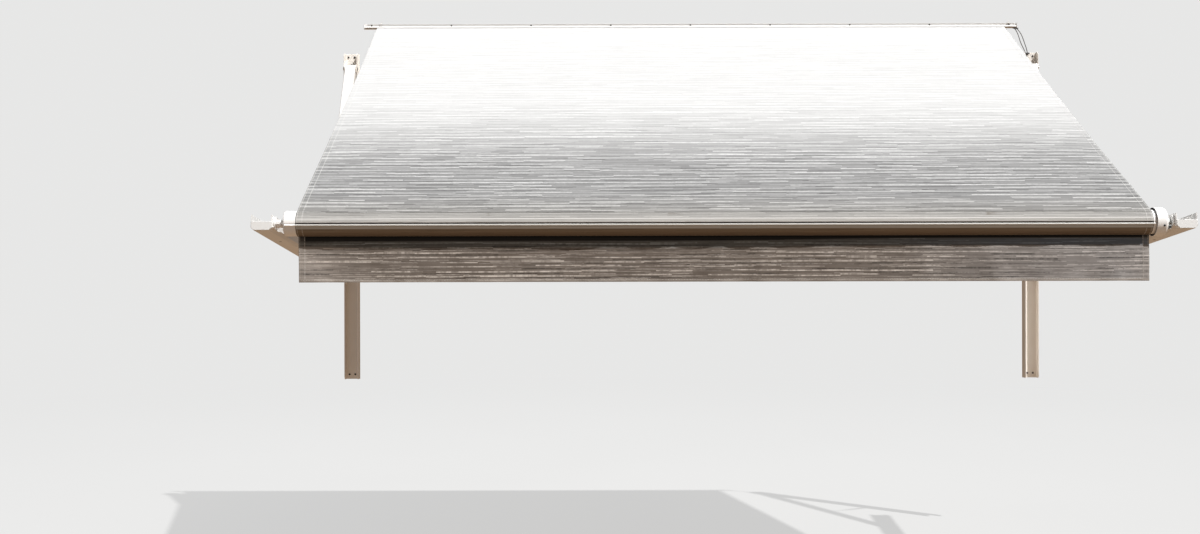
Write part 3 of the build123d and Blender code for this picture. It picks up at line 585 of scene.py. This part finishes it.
# stitches: small thread loops lying in rows on the cloth
def stitches(name, spots, long=0.0075, wide=0.0011, high=0.0007):
    """spots: (point, direction, outward) arrays in the row frame."""
    ring = [(-0.5, 0.0, 0.0), (-0.36, 0.5, 0.0), (0.36, 0.5, 0.0), (0.5, 0.0, 0.0), (0.36, -0.5, 0.0), (-0.36, -0.5, 0.0), (-0.3, 0.0, 1.0), (0.3, 0.0, 1.0), (-0.36, 0.28, 0.75), (0.36, 0.28, 0.75), (0.36, -0.28, 0.75), (-0.36, -0.28, 0.75)]
    tris = [(0, 8, 1), (1, 8, 9, 2), (2, 9, 3), (3, 10, 4), (4, 10, 11, 5), (5, 11, 0), (0, 6, 8), (0, 11, 6), (3, 9, 7), (3, 7, 10), (6, 7, 9, 8), (6, 11, 10, 7), (0, 1, 2, 3, 4, 5)]
    verts, faces = [], []
    for p, d, o in spots:
        w = np.cross(o, d)
        k = len(verts)
        verts += [p + d * (a * long) + w * (b * wide) + o * (c * high - 0.0002) for a, b, c in ring]
        faces += [tuple(k + i for i in t) for t in tris]
    ob = new_object(name, np.array(verts), faces)
    face_out(ob)
    ob.data.materials.append(M["thread"])
    return ob


rng = random.Random(11)
spots = []
for side in (-1, 1):
    for inset in (HEM - 0.0035, 0.0050):
        for k in range(int((RUN - 0.03) / 0.0115)):
            s = 0.02 + k * 0.0115 + rng.uniform(-0.0006, 0.0006)
            x = side * (FABRIC_HALF - inset)
            t = float(hem_profile(np.array(x), FABRIC_HALF, HEM, 0.0004, 0.00085))
            spots.append((canopy_point(x, s, t), ALONG, UPWARD))
canopy_stitches = stitches("canopy_stitches", spots)

for o in (canopy, canopy_stitches):
    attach(o, "canopy")
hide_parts("canopy")
for o in (canopy, canopy_stitches):
    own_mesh(o)


# ---------------------------------------------------------------- fabric turns on the roller
def roll_point(x, deg, r):
    """deg below the roller's foremost line."""
    x, deg, r = np.broadcast_arrays(np.asarray(x, float), np.asarray(deg, float), np.asarray(r, float))
    a = np.radians(deg)
    return np.stack([x, -(HEAD[0] + r * np.cos(a)), -(HEAD[1] + r * np.sin(a))], -1)


TANGENT = -(90 - math.degrees(SLOPE))      # where the canopy meets the roller, degrees below the foremost line
GAP_AT, GAP = 1.0, 2.9
SEAM_AT = -19.0                            # folded edge just above the groove

angles = np.concatenate([
    GAP_AT + GAP + np.array([0.0, 0.12, 0.35, 0.8, 1.6]),
    np.linspace(GAP_AT + GAP + 3, TANGENT + 358, 100),
    TANGENT + 360 + np.array([0.0, 6.0, 12, 18, 24, 30, 34, 38.0, 40.5, 41.6, 42.2, 42.8, 43.4, 44.5, 46, 50, 54, 57]),
    GAP_AT - GAP + 360 - np.array([1.6, 0.8, 0.35, 0.12, 0.0])])
angles = np.array(sorted(set(np.round(angles, 4))))
angles = angles[(angles >= GAP_AT + GAP) & (angles <= GAP_AT - GAP + 360)]
wx = across(FABRIC_HALF, HEM, 61)
WX, WA = np.meshgrid(wx, angles, indexing="ij")
lipped = np.minimum(np.minimum(WA - (GAP_AT + GAP), (GAP_AT - GAP + 360) - WA) / 0.8, 1.0)
swell = 0.00012 * np.sin(WX * 9.1 + 0.7) + 0.0001 * np.sin(WX * 23.0) * np.sin(np.radians(WA) * 2)
ridge = 0.0005 / (1 + np.exp(-(WA - (SEAM_AT + 360)) / 0.25))      # double cloth from the fold to the groove
outer = WRAP_R - 0.0005 + swell + ridge * lipped - 0.0011 * (1 - np.sqrt(np.clip(lipped, 0.0, 1))) + (hem_profile(WX, FABRIC_HALF, HEM, 0.0004, 0.0009) - 0.0004) * np.clip(lipped, 0.3, 1)
inner = np.full_like(outer, 0.05630)
arc = (WA - (TANGENT + 360)) * math.pi / 180 * WRAP_R
arc = np.where(arc < -math.radians(60), arc, arc)
arc = np.where(WA < 200, (WA - TANGENT) * math.pi / 180 * WRAP_R, (WA - (TANGENT + 360)) * math.pi / 180 * WRAP_R)
wrap = closed_sheet("roller_fabric", roll_point(WX, WA, outer), roll_point(WX, WA, inner), np.stack([WX, 2.4605 + arc], -1))
S_FRONT = 2.4605 - TANGENT * math.pi / 180 * WRAP_R      # length at the foremost line
# the roller fabric's colours along its turn hold painted light and shade: a lighter band around the foremost line
# stands in for sun and ground bounce, and the darker brown underside is painted shade
M["wrap"] = fabric(
    "roller_weave", plain=(0.60, 0.59, 0.57), rows=56.0, deep=((0.0, 0.84), (9.0, 0.84)),
    ground=[(2.0, (0.10, 0.09, 0.08)), (2.30, (0.21, 0.205, 0.195)), (2.44, (0.21, 0.205, 0.195)), (2.475, (0.26, 0.253, 0.24)), (2.497, (0.32, 0.312, 0.30)), (S_FRONT - 0.014, (0.38, 0.372, 0.355)),
            (S_FRONT - 0.004, (0.47, 0.46, 0.44)), (S_FRONT + 0.006, (0.46, 0.46, 0.44)), (S_FRONT + 0.024, (0.50, 0.51, 0.49)), (S_FRONT + 0.0275, (0.235, 0.187, 0.137)), (S_FRONT + 0.045, (0.20, 0.153, 0.106)),
            (S_FRONT + 0.062, (0.16, 0.119, 0.085)), (2.80, (0.11, 0.087, 0.064))],
    streak=[(2.0, (0.16, 0.15, 0.14)), (2.30, (0.38, 0.37, 0.35)), (2.48, (0.42, 0.41, 0.39)), (S_FRONT - 0.004, (0.55, 0.54, 0.52)), (S_FRONT + 0.024, (0.58, 0.57, 0.54)), (S_FRONT + 0.0275, (0.27, 0.22, 0.165)),
            (S_FRONT + 0.055, (0.19, 0.147, 0.107)), (2.80, (0.12, 0.10, 0.08))],
    stitch_x=(FABRIC_HALF - 0.0265, FABRIC_HALF - 0.005), seam=2.4605 + (SEAM_AT - TANGENT) * math.pi / 180 * WRAP_R)
wrap.data.materials.append(M["wrap"])
# two turns below, whose edges show at the roller's ends
turns = []
for k, (r0, r1, end) in enumerate(((0.05512, 0.05566, 0.0021), (0.05572, 0.05626, 0.0009))):
    a = np.linspace(GAP_AT + GAP - 0.4, GAP_AT - GAP + 360.4, 97)
    xx = np.array([-(FABRIC_HALF - end), -(FABRIC_HALF - end - 0.0004), 0.0, FABRIC_HALF - end - 0.0004, FABRIC_HALF - end])
    TX, TA = np.meshgrid(xx, a, indexing="ij")
    shrink = np.where(np.abs(TX) > FABRIC_HALF - end - 0.0002, 0.00012, 0.0)
    # their lengths run into the dark end of the roller fabric's colours, so the turns' edges carry its painted shade
    t = closed_sheet(f"roller_turn_{k + 1}", roll_point(TX, TA, r1 - shrink), roll_point(TX, TA, r0 + shrink), np.stack([TX, 2.4605 + TA / 360 * 0.35], -1))
    t.data.materials.append(M["wrap"])
    turns.append(t)
rng = random.Random(5)
spots = []
for side in (-1, 1):
    for inset in (HEM - 0.0035, 0.0050):
        for k in range(31):
            d = GAP_AT + GAP + 4 + k * 11.3
            if 3 < d < 16:
                continue
            x = side * (FABRIC_HALF - inset)
            a = math.radians(d)
            o = np.array([0, -math.cos(a), -math.sin(a)])
            t = np.array([0, math.sin(a), -math.cos(a)])
            spots.append((roll_point(x, d, WRAP_R + 0.00005), t, o))
roller_stitches = stitches("roller_stitches", spots, high=0.00028)
for o in (wrap, *turns, roller_stitches):
    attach(o, "roller")
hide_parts("canopy_wrap")


# ---------------------------------------------------------------- valance
V_TOP = HEAD[1] + math.sqrt((WRAP_R + 0.0008) ** 2 - 0.0156 ** 2)
V_LOW = HEAD[1] + 0.2545
V_Y = HEAD[0] + 0.0156
VHEM = 0.030
rng = random.Random(23)
waves = [(lam * rng.uniform(0.93, 1.07), rng.uniform(0, 2 * math.pi), amp) for lam, amp in ((0.262, 1.0), (0.395, 0.65), (0.171, 0.35), (0.94, 0.8))]


def ripple(x):
    return sum(a * np.sin(2 * math.pi * x / lam + ph) for lam, ph, a in waves) / 2.0


def scallop(x):
    """Shallow hanging waves with rounded hollows and tighter crests."""
    k = x / 0.30 + 0.35 * np.sin(2.1 * x + 0.4) + 0.22 * np.sin(5.3 * x)
    return (1.3 - 2.6 * np.abs(np.sin(math.pi * k)) ** 0.8) * (0.7 + 0.3 * np.sin(1.7 * x + 1.1))


vx = np.linspace(-VALANCE_HALF, VALANCE_HALF, 183)
vt = np.linspace(0, 1, 13)
gx, gt = np.meshgrid(vx, vt, indexing="ij")
start = np.stack([gx, -V_Y - 0.0075 * ripple(gx) * gt ** 0.8, -(V_TOP + (V_LOW - V_TOP) * gt)], -1)
hung = settle(start, len(vx), len(vt), [i * len(vt) for i in range(len(vx))], 30, 40.0, 1.2, 0.05, 1.5)
off = hung - np.stack([gx, np.full_like(gx, -V_Y), -(V_TOP + (V_LOW - V_TOP) * gt)], -1)
forward = 0.0042 * np.clip((gx - 0.3) / 1.3, 0, 1) - 0.0050 * np.clip((0.3 - gx) / 1.0, 0, 1)
off[..., 1] = np.clip(off[..., 1] - (0.0032 * scallop(gx) + forward) * np.clip(gt * 2.2, 0, 1), -0.013, 0.012)
off[..., 0] = np.clip(off[..., 0], -0.002, 0.002)
off[..., 2] = np.clip(off[..., 2], -0.003, 0.004)


def valance_point(x, t, out):
    x, t, out = np.broadcast_arrays(np.asarray(x, float), np.asarray(t, float), np.asarray(out, float))
    d = grid_at(off, vx, vt, x, t)
    return np.stack([x + d[..., 0], -V_Y + d[..., 1] - out, -(V_TOP + (V_LOW - V_TOP) * t) + d[..., 2]], -1)


vxs = across(VALANCE_HALF, VHEM, 241)
LONG = V_LOW - V_TOP
vts = np.concatenate([np.linspace(0, 1 - 0.0135 / LONG, 16), 1 - np.array([0.0122, 0.0110, 0.008, 0.004, 0.0015, 0.0006, 0.0]) / LONG])
X, T = np.meshgrid(vxs, vts, indexing="ij")
side_t = hem_profile(X, VALANCE_HALF, VHEM, 0.0004, 0.0009)
from_low = (1 - T) * LONG
low_up = np.clip((0.0116 - from_low) / 0.0012 + 0.5, 0, 1)
low_t = (0.0004 + 0.0005 * low_up) * np.sqrt(np.clip(from_low / 0.0015, 0.02, 1))
half_t = np.where(from_low < 0.0015, np.minimum(side_t, low_t), np.maximum(side_t, low_t) * np.sqrt(np.clip((VALANCE_HALF - np.abs(X)) / 0.0022, 0.02, 1)))
valance = closed_sheet("valance_cloth", valance_point(X, T, half_t), valance_point(X, T, -half_t), np.stack([X, 5.0 + T * LONG], -1))
# near black for the valance's top in the gap under the roller: painted shade
V_GROUND, V_STREAK, V_GAP_PAINTED_SHADE = (0.152, 0.127, 0.107), (0.61, 0.555, 0.50), (0.012, 0.011, 0.010)
# darker, greyer colours for the band below the top: painted shade where the roller's shadow falls on the valance
V_PAINTED_SHADE, V_PAINTED_SHADE_STREAK = (0.108, 0.108, 0.101), (0.27, 0.29, 0.29)
M["valance"] = fabric(
    "valance_weave", plain=(0.46, 0.43, 0.39), rows=50.0, deep=((0.0, 0.47), (9.0, 0.47)), paler=((0.45, 1.75, (0.262, 0.25, 0.244), 0.78), (-1.50, -1.82, (0.36, 0.325, 0.295), 0.62), (1.66, 1.82, (0.34, 0.32, 0.305), 0.40)), cool_painted_shade=(0.30, 1.60, (0.112, 0.134, 0.165), 0.8),
    # lean moves the colours along the length with x, so the painted shade band reaches lower at the left end
    lean=(1.0, -0.2, 0.0, 0.010), grit=0.7,
    ground=[(4.99, V_GAP_PAINTED_SHADE), (5.009, V_GAP_PAINTED_SHADE), (5.0125, (0.08, 0.078, 0.07)), (5.016, V_PAINTED_SHADE), (5.036, V_PAINTED_SHADE), (5.048, V_GROUND), (5.2, V_GROUND)],
    streak=[(4.99, V_GAP_PAINTED_SHADE), (5.009, V_GAP_PAINTED_SHADE), (5.0125, (0.12, 0.12, 0.11)), (5.016, V_PAINTED_SHADE_STREAK), (5.036, V_PAINTED_SHADE_STREAK), (5.048, V_STREAK), (5.2, V_STREAK)],
    hem=(VALANCE_HALF - 0.030, (0.34, 0.31, 0.28), 0.16), hem_low=(5.0 + LONG - 0.0115, (0.34, 0.30, 0.265), 0.6),
    stitch_x=(VALANCE_HALF - 0.0265, VALANCE_HALF - 0.005))
valance.data.materials.append(M["valance"])
rng = random.Random(7)
spots = []
FRONT, DOWN, SIDE = np.array([0, -1.0, 0]), np.array([0, 0, -1.0]), np.array([1.0, 0, 0])
for side in (-1, 1):
    for inset in (VHEM - 0.0035, 0.0050):
        for k in range(int((LONG - 0.012) / 0.0115)):
            x, t = side * (VALANCE_HALF - inset), (0.006 + k * 0.0115 + rng.uniform(-0.0005, 0.0005)) / LONG
            spots.append((valance_point(x, t, 0.0009), DOWN, FRONT))
for k in range(int((2 * VALANCE_HALF - 0.02) / 0.0115)):
    x = -VALANCE_HALF + 0.01 + k * 0.0115 + rng.uniform(-0.0005, 0.0005)
    spots.append((valance_point(x, 1 - 0.0092 / LONG, 0.0009), SIDE, FRONT))
valance_stitches = stitches("valance_stitches", spots)
for o in (valance, valance_stitches):
    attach(o, "valance")
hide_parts("valance")
for o in (valance, valance_stitches):
    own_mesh(o)


# ---------------------------------------------------------------- rubber plugs in the drain holes of the main arms
def drain_plug(side, x):
    e, h = np.array([0.0, -0.740, -1.391]), np.array([0.0, -HEAD[0], -HEAD[1]])
    length = float(np.linalg.norm(h - e))
    d = (h - e) / length
    n = np.array([0.0, d[2], -d[1]])           # across the arm, out through the web
    if n[2] > 0:
        n = -n
    c = e + d * (length - 0.320) + n * 0.034 + np.array([x, 0.0, 0.0])
    outline = [(0.0, -0.0042), (0.0066, -0.0042), (0.00685, -0.0034), (0.00685, -0.0004), (0.0062, -0.0001), (0.0044, -0.0002), (0.0036, -0.0010), (0.0, -0.0011)]
    verts, faces, k = [], [], 28
    for r, z in outline[1:-1]:
        for i in range(k):
            a = 2 * math.pi * i / k
            verts.append(c + np.array([r * math.cos(a), 0, 0]) + d * (r * math.sin(a)) + n * z)
    rows_n = len(outline) - 2
    for j in range(rows_n - 1):
        for i in range(k):
            faces.append((j * k + i, j * k + (i + 1) % k, (j + 1) * k + (i + 1) % k, (j + 1) * k + i))
    faces.append(tuple(range(k)))
    faces.append(tuple((rows_n - 1) * k + i for i in range(k)))
    o = face_out(new_object(f"drain_plug_{side}", verts, faces, smooth=False))
    o.data.materials.append(M["rubber"])
    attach(o, f"main_arm_{side}")
    return o


drain_plug("left", -1.990)
drain_plug("right", 1.990)

# ---------------------------------------------------------------- floor, backdrop and light
PALE = (0.80, 0.80, 0.795)
floor = new_object("floor", [(-40, -30, -2.95), (40, -30, -2.95), (40, 60, -2.95), (-40, 60, -2.95)], [(0, 1, 2, 3)], smooth=False)
m, nt, b = material("floor_pale")
g = Graph(nt)
b.inputs["Roughness"].default_value = 0.9
b.inputs["Specular IOR Level"].default_value = 0.1
tone = g.noise(g.scaled(g.coords(), (0.4, 0.4, 0.4)), 1.0, 3.0, 0.5)
g.put(b.inputs["Base Color"], g.mix(g.step(tone, 0.3, 0.7), (0.58, 0.58, 0.575), (0.60, 0.60, 0.595)))
glow = g.node("ShaderNodeEmission")
glow.inputs["Color"].default_value = (*PALE, 1)
glow.inputs["Strength"].default_value = 1.0
blend = g.node("ShaderNodeMixShader")
far = g.node("ShaderNodeVectorMath", operation="LENGTH")
g.put(far.inputs[0], g.coords())
g.put(blend.inputs[0], g.step(far.outputs["Value"], 2.0, 11.0, 0.70, 1.0))
nt.links.new(b.outputs["BSDF"], blend.inputs[1])
nt.links.new(glow.outputs[0], blend.inputs[2])
nt.links.new(blend.outputs[0], [n for n in nt.nodes if n.type == "OUTPUT_MATERIAL"][0].inputs["Surface"])
floor.data.materials.append(m)
floor.visible_diffuse = False
floor.visible_glossy = False

world = bpy.data.worlds.new("studio")
SCENE.world = world
world.use_nodes = True
nt = world.node_tree
nt.nodes.clear()
g = Graph(nt)
out = nt.nodes.new("ShaderNodeOutputWorld")
up = g.split(g.node("ShaderNodeTexCoord").outputs["Generated"])[2]
below = g.mix(g.step(up, -1.0, -0.12), (0.44, 0.285, 0.17), (0.345, 0.265, 0.20))
above = g.mix(g.step(up, 0.05, 0.9), (0.225, 0.225, 0.232), (0.29, 0.295, 0.31))
soft = nt.nodes.new("ShaderNodeBackground")
g.put(soft.inputs["Color"], g.mix(g.step(up, -0.1, 0.08), below, above))
soft.inputs["Strength"].default_value = 1.0
seen = nt.nodes.new("ShaderNodeBackground")
seen.inputs["Color"].default_value = (*PALE, 1)
seen.inputs["Strength"].default_value = 1.0
pick = nt.nodes.new("ShaderNodeMixShader")
g.put(pick.inputs[0], g.node("ShaderNodeLightPath").outputs["Is Camera Ray"])
nt.links.new(soft.outputs[0], pick.inputs[1])
nt.links.new(seen.outputs[0], pick.inputs[2])
nt.links.new(pick.outputs[0], out.inputs["Surface"])

key = bpy.data.lights.new("key", "SUN")
key.energy = 5.2
key.angle = math.radians(0.9)
key.color = (1.0, 0.992, 0.98)
key_o = bpy.data.objects.new("key", key)
SCENE.collection.objects.link(key_o)
key_o.rotation_euler = Vector((0.431, -0.385, 0.816)).to_track_quat("Z", "Y").to_euler()
key_o.location = (3, -4, 6)

SCENE.view_settings.view_transform = "Standard"
SCENE.view_settings.look = "None"
SCENE.view_settings.exposure = 0.0
SCENE.view_settings.gamma = 1.0
